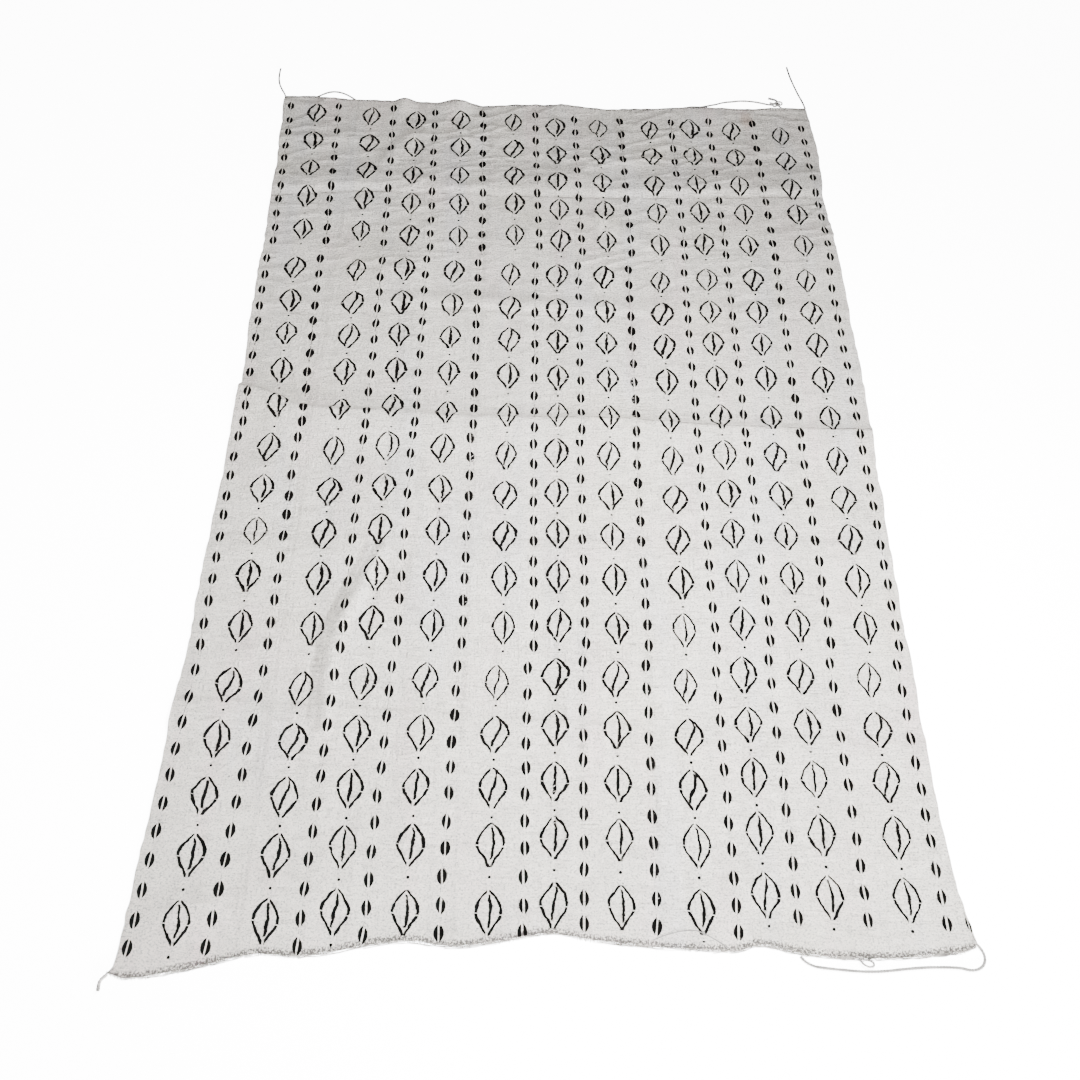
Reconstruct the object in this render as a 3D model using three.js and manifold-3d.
// A mud cloth: eight narrow strips of hand-woven cotton, sewn edge to edge and lying flat on the
// ground, with the creases of the folds in which it was kept, a frayed near end and a few loose yarns.
//
// Lengths are millimetres. X runs across the cloth, +Y to its far end and +Z up. The origin is at the
// bottom of the bounding box of the cloth, in the middle of its width and length.

import * as THREE from 'three';
import { mergeVertices } from 'three/addons/utils/BufferGeometryUtils.js';
import Module from 'manifold-3d';

const wasm = await Module();
wasm.setup();

// Driving sizes

const CLOTH_THICKNESS = 1.6;
const SEAM_GAP = 0.3;
const CELLS_ACROSS = 4;

// The outline is drawn about the middle of the cloth. This is where the middle of its box lies.
const MIDDLE = { x: -6.2, y: -5.5 };

// Outline. Each side is a smooth curve through a few places on it.

const LEFT_SIDE = [
  { y: -812, x: -524 }, { y: -802, x: -514 }, { y: -766, x: -511 }, { y: -664, x: -508 },
  { y: -524, x: -503 }, { y: -337, x: -497 }, { y: 40, x: -494 }, { y: 95, x: -491 },
  { y: 221, x: -496 }, { y: 547, x: -501 }, { y: 818, x: -511 },
];

const RIGHT_SIDE = [
  { y: -777, x: 514 }, { y: -731, x: 505 }, { y: -664, x: 500 }, { y: -519, x: 500 },
  { y: -248, x: 503 }, { y: 22, x: 511 }, { y: 247, x: 514 }, { y: 382, x: 513 },
  { y: 517, x: 508 }, { y: 651, x: 515 }, { y: 778, x: 508 },
];

const FAR_END = [
  { x: -511, y: 818 }, { x: -443, y: 814 }, { x: -370, y: 804 }, { x: -221, y: 797 },
  { x: -121, y: 786 }, { x: 7, y: 789 }, { x: 101, y: 775 }, { x: 241, y: 778 },
  { x: 380, y: 776 }, { x: 508, y: 778 },
];

const NEAR_END = [
  { x: -524, y: -808 }, { x: -496, y: -815 }, { x: -432, y: -805 }, { x: -348, y: -788 },
  { x: -290, y: -789 }, { x: -176, y: -772 }, { x: -107, y: -778 }, { x: 2, y: -764 },
  { x: 46, y: -771 }, { x: 97, y: -776 }, { x: 221, y: -784 }, { x: 256, y: -777 },
  { x: 307, y: -787 }, { x: 387, y: -792 }, { x: 490, y: -785 }, { x: 514, y: -777 },
];

// The seams between the strips run straight from the far end to the near end.

const SEAMS = [
  { far: -368, near: -374 },
  { far: -236, near: -247 },
  { far: -107, near: -118 },
  { far: 16, near: 8 },
  { far: 143, near: 135 },
  { far: 269, near: 261 },
  { far: 389, near: 380 },
];
const SEAM_FAR_Y = 800;
const SEAM_NEAR_Y = -800;

// The cloth was kept folded in six, so five folds cross it, about 262 apart. A fold rises to its crest
// over nearRun, and falls past it over farRun. Its line gives where the crest is and how high.

const FOLDS = [
  {
    name: 'near fold',
    nearRun: 45,
    farRun: 38,
    line: [
      { x: -512, y: -479, rise: 3.2 }, { x: -380, y: -486, rise: 1.4 },
      { x: 10, y: -513, rise: 1.6 }, { x: 512, y: -547, rise: 2.6 },
    ],
  },
  {
    name: 'second fold',
    nearRun: 38,
    farRun: 42,
    line: [
      { x: -512, y: -227, rise: 1.8 }, { x: 9, y: -239, rise: 2.2 }, { x: 512, y: -241, rise: 1.6 },
    ],
  },
  {
    name: 'middle fold',
    nearRun: 105,
    farRun: 20,
    line: [
      { x: -512, y: 80, rise: 8 }, { x: -455, y: 69, rise: 12 }, { x: -392, y: 35, rise: 14 },
      { x: -231, y: 24, rise: 11 }, { x: -136, y: 16, rise: 9 }, { x: 117, y: 9, rise: 8 },
      { x: 243, y: -1, rise: 8 }, { x: 368, y: -7, rise: 7 }, { x: 514, y: -12, rise: 8 },
    ],
  },
  {
    name: 'fourth fold',
    nearRun: 24,
    farRun: 32,
    line: [
      { x: -512, y: 262, rise: 1.4 }, { x: -315, y: 258, rise: 2.4 }, { x: -180, y: 269, rise: 4.6 },
      { x: -43, y: 257, rise: 4.2 }, { x: 93, y: 250, rise: 4.6 }, { x: 230, y: 247, rise: 2.2 },
      { x: 514, y: 245, rise: 2 },
    ],
  },
  {
    name: 'far fold',
    nearRun: 17,
    farRun: 78,
    line: [
      { x: -512, y: 550, rise: 5 }, { x: -354, y: 559, rise: 6 }, { x: -211, y: 555, rise: 5 },
      { x: 6, y: 545, rise: 5 }, { x: 174, y: 541, rise: 6.5 }, { x: 393, y: 543, rise: 6 },
      { x: 516, y: 541, rise: 4.5 },
    ],
  },
];

// Where a fold's rows of points lie, as shares of its runs, and the rows between the folds.
const FOLD_ROWS = [-1, -0.55, -0.22, 0, 0.3, 0.62, 1];
const PLAIN_ROWS = [5, 5, 3, 5, 5, 5];

// Places where the cloth stands up off the ground in a low swell.

const SWELLS = [
  { name: 'far edge wave', x: -170, y: 805, spanX: 52, spanY: 75, rise: 10 },
  { name: 'small far edge wave', x: -272, y: 800, spanX: 30, spanY: 48, rise: 5 },
  { name: 'far middle wave', x: 60, y: 792, spanX: 80, spanY: 50, rise: 4 },
  { name: 'far right wave', x: 300, y: 780, spanX: 90, spanY: 60, rise: 4 },
  { name: 'near left swell', x: -430, y: -742, spanX: 70, spanY: 46, rise: 5 },
  { name: 'near right swell', x: 250, y: -712, spanX: 60, spanY: 46, rise: 4 },
];

// Long low wrinkles that run between two places.

const WRINKLES = [
  { name: 'upper slanting wrinkle', x1: -222, y1: -242, x2: -280, y2: -408, reach: 26, rise: 5 },
  { name: 'lower slanting wrinkle', x1: -280, y1: -408, x2: -283, y2: -508, reach: 24, rise: 4 },
  { name: 'far left wrinkle', x1: -250, y1: 700, x2: -300, y2: 620, reach: 30, rise: 3.5 },
  { name: 'far right wrinkle', x1: 95, y1: 470, x2: 180, y2: 405, reach: 28, rise: 3 },
];

// Between its folds the cloth rises and rests in long, low waves.

const WAVE = {
  rise: 5.2, rest: 0.35, slant: 0.6, crossShare: 0.4,
  longX: 330, longY: 260, longTurnX: 0.8, longTurnY: 0.4,
  crossX: 210, crossY: 410, crossTurnY: 2,
};

// A place on the sheet is found in a few rounds, because its row and its column bend with each other.
const PLACE_ROUNDS = 4;

// The near end lies flat on the ground over this width, then takes up its waves.
const FLAT_END = 26;
const FLAT_END_EASE = 50;

// The frayed near end

const FRAY_BAND = 2.6;
const FRAY_THICKNESS = 1.4;
const FRAY_ROOT = 1.2;
const FRAY = { pitch: 11, shortest: 4.5, longest: 8.5, rootWidth: 2.6, tipWidth: 1.3, lean: 0.45 };
const FRAY_ENDS_CLEAR = 5;
// The near right yarn comes out of the fray here, so no frayed end stands in its way.
const FRAY_OPENING = { x: 300, reach: 20 };

// Loose yarns. Each is a smooth curve through its places, and lies on the ground or on the cloth.

const YARN = 3;
const THREAD = 1.2;
const YARN_SIDES = 8;
const YARN_STEP = 2.5;
const YARN_LIFT = 0.05;
const THREAD_GAP = 0.4;

const YARN_ROUTES = [
  {
    name: 'far_left_yarn',
    thick: YARN,
    places: [
      [-510.4, 818.9], [-511.6, 822.6], [-513.4, 827], [-515.6, 831.4], [-518, 836], [-520, 840.5],
      [-522.4, 846], [-524.8, 852], [-526.6, 858], [-528, 864], [-529.2, 871], [-530, 878],
      [-530.4, 885], [-530.6, 893], [-530.4, 905],
    ],
  },
  {
    name: 'far_left_arc',
    thick: YARN,
    places: [
      [-447, 816.2], [-443, 818.9], [-439, 821.8], [-434.5, 825], [-430, 827.6], [-425, 829.8],
      [-419.5, 831.2], [-414, 831.6], [-408, 830.8], [-402, 829], [-396, 826.2], [-390, 822.6],
      [-384, 818.2], [-377.4, 812.4], [-370.8, 806.2],
    ],
  },
  {
    name: 'far_right_arc',
    thick: YARN,
    places: [
      [268, 780.3], [276, 782.4], [286, 784.4], [296, 784.2], [306, 784.6], [316, 787],
      [326, 789.8], [336, 792.6], [346, 796.6], [356, 799], [368, 800.6], [380, 802.4],
      [392, 802.6], [404, 801.4], [416, 798.8], [427, 795.4], [437, 792], [445.6, 790.6],
    ],
  },
  {
    name: 'far_right_yarn',
    thick: YARN,
    places: [
      [508, 778.9], [507.4, 785], [506.4, 792], [505, 799], [503.4, 807], [501.4, 815],
      [499.4, 824], [497.6, 833], [495.8, 843], [494, 853], [492.4, 863], [490.8, 873],
      [489.6, 883], [488.6, 894], [487.4, 909],
    ],
  },
  {
    name: 'near_right_yarn',
    thick: YARN,
    places: [
      [515.2, -779.9], [517.6, -784.2], [519, -789], [518.6, -795], [515.4, -800.6], [510, -804.4],
      [503.4, -806], [496.6, -805.6], [490, -804], [482, -803.2], [472, -802.8], [460, -802.8],
      [448, -803], [434, -803.8], [420, -805], [406, -806.4], [392, -807.4], [378, -807.6],
      [364, -807], [350, -805.8], [337, -804.6], [325, -803.2], [316, -801.6], [308, -798],
      [303, -793.8], [300.6, -790.4],
    ],
  },
  {
    name: 'near_thread',
    thick: THREAD,
    onCloth: true,
    places: [
      [126, -772.5], [132, -770], [139, -767.4], [147, -765], [155, -763], [163, -761.8],
      [171, -761.2], [178, -761.4], [184, -763], [190, -765.8], [196, -769], [202, -772.4],
      [207, -775.6], [212, -778.8], [217, -781.8],
    ],
  },
];

// The knot at the end of the long far arc, with its tail and the yarn that holds it to the cloth

const KNOT = { x: 453.5, y: 791, wide: 15, deep: 11, high: 7.5 };
const KNOT_TAIL = [[452, 793], [455.5, 798], [453, 803.5], [446.5, 807], [439, 809.5]];
const KNOT_HOLD = [[455, 789], [459.6, 784.4], [464, 778.7]];
const KNOT_TAIL_THICK = 4.6;
const KNOT_FLAT = 0.6;

// The long end at the near left corner
const CORNER_END = [[-519, -811], [-523, -814.5], [-525.4, -818], [-526, -822.5], [-525.6, -829]];
const CORNER_END_THICK = 3;

// Finish
const COTTON = { color: 0xdedbd3, roughness: 0.95, metalness: 0 };
const YARN_COTTON = { color: 0xe6e3dc, roughness: 0.95, metalness: 0 };

// A smooth curve through the rows of a table: the value of column out where column by is at.
function follow(table, by, out, at) {
  const last = table.length - 1;
  let i = 0;
  while (i < last - 1 && at > table[i + 1][by]) i += 1;
  const slope = (k) => {
    const a = table[Math.max(k - 1, 0)];
    const b = table[Math.min(k + 1, last)];
    return (b[out] - a[out]) / (b[by] - a[by]);
  };
  const from = table[i];
  const to = table[i + 1];
  const span = to[by] - from[by];
  const t = THREE.MathUtils.clamp((at - from[by]) / span, 0, 1);
  const t2 = t * t;
  const t3 = t2 * t;
  return (2 * t3 - 3 * t2 + 1) * from[out] + (t3 - 2 * t2 + t) * span * slope(i)
    + (3 * t2 - 2 * t3) * to[out] + (t3 - t2) * span * slope(i + 1);
}

// From 1 at the middle to 0 at the end of the reach, smooth at both.
function hump(share) {
  const t = Math.min(Math.abs(share), 1);
  return 1 - t * t * (3 - 2 * t);
}

const nearY = (x) => follow(NEAR_END, 'x', 'y', x);
const farY = (x) => follow(FAR_END, 'x', 'y', x);
const foldY = (fold, x) => follow(fold.line, 'x', 'y', x);

function foldRise(fold, x, y) {
  const past = y - foldY(fold, x);
  const run = past < 0 ? fold.nearRun : fold.farRun;
  return follow(fold.line, 'x', 'rise', x) * hump(past / run);
}

function swellRise(swell, x, y) {
  const away = Math.hypot((x - swell.x) / swell.spanX, (y - swell.y) / swell.spanY);
  return swell.rise * hump(away);
}

function wrinkleRise(wrinkle, x, y) {
  const dx = wrinkle.x2 - wrinkle.x1;
  const dy = wrinkle.y2 - wrinkle.y1;
  const along = ((x - wrinkle.x1) * dx + (y - wrinkle.y1) * dy) / (dx * dx + dy * dy);
  const t = THREE.MathUtils.clamp(along, 0, 1);
  const away = Math.hypot(x - wrinkle.x1 - t * dx, y - wrinkle.y1 - t * dy);
  return wrinkle.rise * hump(away / wrinkle.reach);
}

function waveRise(x, y) {
  const long = Math.sin(x / WAVE.longX * Math.PI + WAVE.longTurnX)
    * Math.sin(y / WAVE.longY * Math.PI + WAVE.longTurnY);
  const cross = Math.sin((x + WAVE.slant * y) / WAVE.crossX * Math.PI)
    * Math.sin(y / WAVE.crossY * Math.PI + WAVE.crossTurnY);
  const mixed = long + (cross - long) * WAVE.crossShare;
  const up = Math.max(0, mixed - WAVE.rest) / (1 - WAVE.rest);
  return WAVE.rise * up * up * (3 - 2 * up);
}

// How far the underside of the cloth is off the ground.
function lift(x, y) {
  let up = waveRise(x, y);
  for (const fold of FOLDS) up += foldRise(fold, x, y);
  for (const swell of SWELLS) up += swellRise(swell, x, y);
  for (const wrinkle of WRINKLES) up += wrinkleRise(wrinkle, x, y);
  const fromEnd = (y - nearY(x) - FLAT_END) / FLAT_END_EASE;
  return up * (1 - hump(fromEnd < 0 ? 0 : fromEnd));
}

// The rows of points along the cloth, from its near end to its far end, where they cross x.
function rowsAt(x) {
  const stations = [[nearY(x)]];
  for (const fold of FOLDS) {
    stations.push(FOLD_ROWS.map((s) => foldY(fold, x) + s * (s < 0 ? fold.nearRun : fold.farRun)));
  }
  stations.push([farY(x)]);
  const rows = [];
  for (let i = 0; i < PLAIN_ROWS.length; i += 1) {
    rows.push(...stations[i]);
    const from = stations[i].at(-1);
    const to = stations[i + 1][0];
    for (let k = 1; k < PLAIN_ROWS[i]; k += 1) rows.push(from + (to - from) * k / PLAIN_ROWS[i]);
  }
  rows.push(farY(x));
  return rows;
}

// The X of seam number i at y. Seam 0 is the left side and the last one the right side.
function seamX(i, y) {
  if (i === 0) return follow(LEFT_SIDE, 'y', 'x', y);
  if (i > SEAMS.length) return follow(RIGHT_SIDE, 'y', 'x', y);
  const share = (y - SEAM_NEAR_Y) / (SEAM_FAR_Y - SEAM_NEAR_Y);
  return SEAMS[i - 1].near + (SEAMS[i - 1].far - SEAMS[i - 1].near) * share;
}

// Where row number row of strip i lies, at a share of the way across the strip.
function placeOnStrip(i, across, row) {
  const leftGap = i === 0 ? 0 : SEAM_GAP / 2;
  const rightGap = i === SEAMS.length ? 0 : SEAM_GAP / 2;
  const place = { x: seamX(i, 0) * (1 - across) + seamX(i + 1, 0) * across, y: 0 };
  for (let round = 0; round < PLACE_ROUNDS; round += 1) {
    place.y = rowsAt(place.x)[row];
    place.x = (seamX(i, place.y) + leftGap) * (1 - across)
      + (seamX(i + 1, place.y) - rightGap) * across;
  }
  return place;
}

// One woven strip, a box of thin cells whose points are moved to the strip's outline and folds.
function stripGeometry(i) {
  const cellsAlong = rowsAt(0).length - 1;
  const sheet = new THREE.BoxGeometry(1, 1, 1, CELLS_ACROSS, cellsAlong, 1);
  const point = sheet.attributes.position;
  for (let n = 0; n < point.count; n += 1) {
    const row = Math.round((point.getY(n) + 0.5) * cellsAlong);
    const { x, y } = placeOnStrip(i, point.getX(n) + 0.5, row);
    point.setXYZ(n, x, y, lift(x, y) + (point.getZ(n) + 0.5) * CLOTH_THICKNESS);
  }
  return sheet;
}

// A repeatable number from 0 to 1 for piece n.
function chance(n, salt) {
  const wave = Math.sin(n * 127.1 + salt * 311.7) * 43758.5453;
  return wave - Math.floor(wave);
}

function yarnSection(thick) {
  const section = new THREE.Shape();
  for (let k = 0; k < YARN_SIDES; k += 1) {
    const turn = (k + 0.5) / YARN_SIDES * 2 * Math.PI;
    const place = [Math.cos(turn) * thick / 2, Math.sin(turn) * thick / 2];
    if (k === 0) section.moveTo(...place);
    else section.lineTo(...place);
  }
  section.closePath();
  return section;
}

// A yarn of one thickness along a smooth route of places, each at its own height.
function yarnGeometry(places, thick, heightAt) {
  const route = new THREE.CatmullRomCurve3(
    places.map(([x, y]) => new THREE.Vector3(x, y, heightAt(x, y))),
    false,
    'centripetal',
  );
  const steps = Math.max(2, Math.round(route.getLength() / (YARN_STEP * thick)));
  return new THREE.ExtrudeGeometry(yarnSection(thick), { extrudePath: route, steps, bevelEnabled: false });
}

function toSolid(geometry) {
  const bare = geometry.index ? geometry.toNonIndexed() : geometry.clone();
  bare.deleteAttribute('normal');
  bare.deleteAttribute('uv');
  const closed = mergeVertices(bare);
  return new wasm.Manifold(new wasm.Mesh({
    numProp: 3,
    vertProperties: new Float32Array(closed.attributes.position.array),
    triVerts: new Uint32Array(closed.index.array),
  }));
}

function fromSolid(solid) {
  const mesh = solid.getMesh();
  const geometry = new THREE.BufferGeometry();
  geometry.setAttribute('position', new THREE.BufferAttribute(new Float32Array(mesh.vertProperties), 3));
  geometry.setIndex(new THREE.BufferAttribute(new Uint32Array(mesh.triVerts), 1));
  geometry.computeVertexNormals();
  return geometry;
}

function fuse(geometries) {
  return fromSolid(geometries.map(toSolid).reduce((whole, piece) => whole.add(piece)));
}

// The near edge of the strips as it is cut, one straight stretch from each column of points to the next.
function cutEdge() {
  const edge = [];
  for (let i = 0; i <= SEAMS.length; i += 1) {
    for (let k = 0; k < CELLS_ACROSS; k += 1) edge.push(placeOnStrip(i, k / CELLS_ACROSS, 0));
  }
  edge.push(placeOnStrip(SEAMS.length, 1, 0));
  return edge;
}

function cutEdgeY(edge, x) {
  const i = THREE.MathUtils.clamp(edge.findIndex((place) => place.x > x), 1, edge.length - 1);
  const share = (x - edge[i - 1].x) / (edge[i].x - edge[i - 1].x);
  return edge[i - 1].y + (edge[i].y - edge[i - 1].y) * share;
}

// The narrow band that the frayed ends stand on, just clear of the cut edge. Its points lie opposite
// the strips' own.
function frayBand(edge) {
  const cells = edge.length - 1;
  const band = new THREE.BoxGeometry(1, 1, 1, cells, 1, 1);
  const point = band.attributes.position;
  for (let n = 0; n < point.count; n += 1) {
    const place = edge[Math.round((point.getX(n) + 0.5) * cells)];
    const y = place.y - SEAM_GAP - (0.5 - point.getY(n)) * FRAY_BAND;
    point.setXYZ(n, place.x, y, (point.getZ(n) + 0.5) * CLOTH_THICKNESS);
  }
  return band;
}

// One frayed end, four-sided and tapered, lying on the ground and pointing away from the cloth.
function frayStrand(n, x, edgeY) {
  const length = FRAY.shortest + (FRAY.longest - FRAY.shortest) * chance(n, 1);
  const strand = new THREE.CylinderGeometry(0.5, 0.5, 1, 4, 1);
  strand.rotateY(Math.PI / 4);
  const point = strand.attributes.position;
  const toFullWidth = Math.SQRT2;
  const root = edgeY - SEAM_GAP - FRAY_BAND + FRAY_ROOT;
  const lean = FRAY.lean * (chance(n, 2) - 0.5) * 2;
  for (let k = 0; k < point.count; k += 1) {
    const out = 0.5 - point.getY(k);
    const wide = FRAY.rootWidth + (FRAY.tipWidth - FRAY.rootWidth) * out;
    const side = point.getX(k) * toFullWidth * wide;
    const high = point.getZ(k) * toFullWidth + 0.5;
    const reach = out * (length + FRAY_ROOT);
    point.setXYZ(k, x + side + lean * out * length, root - reach, high * FRAY_THICKNESS);
  }
  return strand;
}

function frayGeometry() {
  const ground = CORNER_END_THICK / 2 + YARN_LIFT;
  const edge = cutEdge();
  const pieces = [frayBand(edge), yarnGeometry(CORNER_END, CORNER_END_THICK, () => ground)];
  const from = NEAR_END[0].x + FRAY_ENDS_CLEAR;
  const count = Math.floor((NEAR_END.at(-1).x - FRAY_ENDS_CLEAR - from) / FRAY.pitch);
  for (let n = 1; n <= count; n += 1) {
    const x = from + (n + 0.35 * (chance(n, 3) - 0.5)) * FRAY.pitch;
    if (Math.abs(x - FRAY_OPENING.x) < FRAY_OPENING.reach) continue;
    pieces.push(frayStrand(n, x, cutEdgeY(edge, x)));
  }
  return fuse(pieces);
}

function knotGeometry() {
  const lump = new THREE.SphereGeometry(0.5, 10, 8);
  lump.rotateX(Math.PI / 2);
  lump.scale(KNOT.wide, KNOT.deep, KNOT.high);
  lump.translate(KNOT.x, KNOT.y, KNOT.high / 2 - KNOT_FLAT);
  const tailHeight = KNOT_TAIL_THICK / 2 + YARN_LIFT;
  const holdHeight = YARN / 2 + YARN_LIFT;
  const knot = [
    lump,
    yarnGeometry(KNOT_TAIL, KNOT_TAIL_THICK, () => tailHeight),
    yarnGeometry(KNOT_HOLD, YARN, () => holdHeight),
  ].map(toSolid).reduce((whole, piece) => whole.add(piece));
  const ground = new THREE.BoxGeometry(3 * KNOT.wide, 3 * KNOT.wide, 2 * KNOT_FLAT);
  ground.translate(KNOT.x, KNOT.y, -KNOT_FLAT);
  return fromSolid(knot.subtract(toSolid(ground)));
}

function piece(name, geometry, finish) {
  const mesh = new THREE.Mesh(geometry, new THREE.MeshStandardMaterial(finish));
  mesh.name = name;
  return mesh;
}

const cloth = new THREE.Group();
for (let i = 0; i <= SEAMS.length; i += 1) cloth.add(piece(`strip_${i + 1}`, stripGeometry(i), COTTON));
cloth.add(piece('near_fray', frayGeometry(), COTTON));
for (const yarn of YARN_ROUTES) {
  const onGround = () => yarn.thick / 2 + YARN_LIFT;
  const onCloth = (x, y) => lift(x, y) + CLOTH_THICKNESS + THREAD_GAP + yarn.thick / 2;
  const height = yarn.onCloth ? onCloth : onGround;
  cloth.add(piece(yarn.name, yarnGeometry(yarn.places, yarn.thick, height), YARN_COTTON));
}
cloth.add(piece('far_knot', knotGeometry(), YARN_COTTON));

const mudCloth = new THREE.Group();
cloth.position.set(-MIDDLE.x, -MIDDLE.y, 0);
mudCloth.add(cloth);

export default mudCloth;
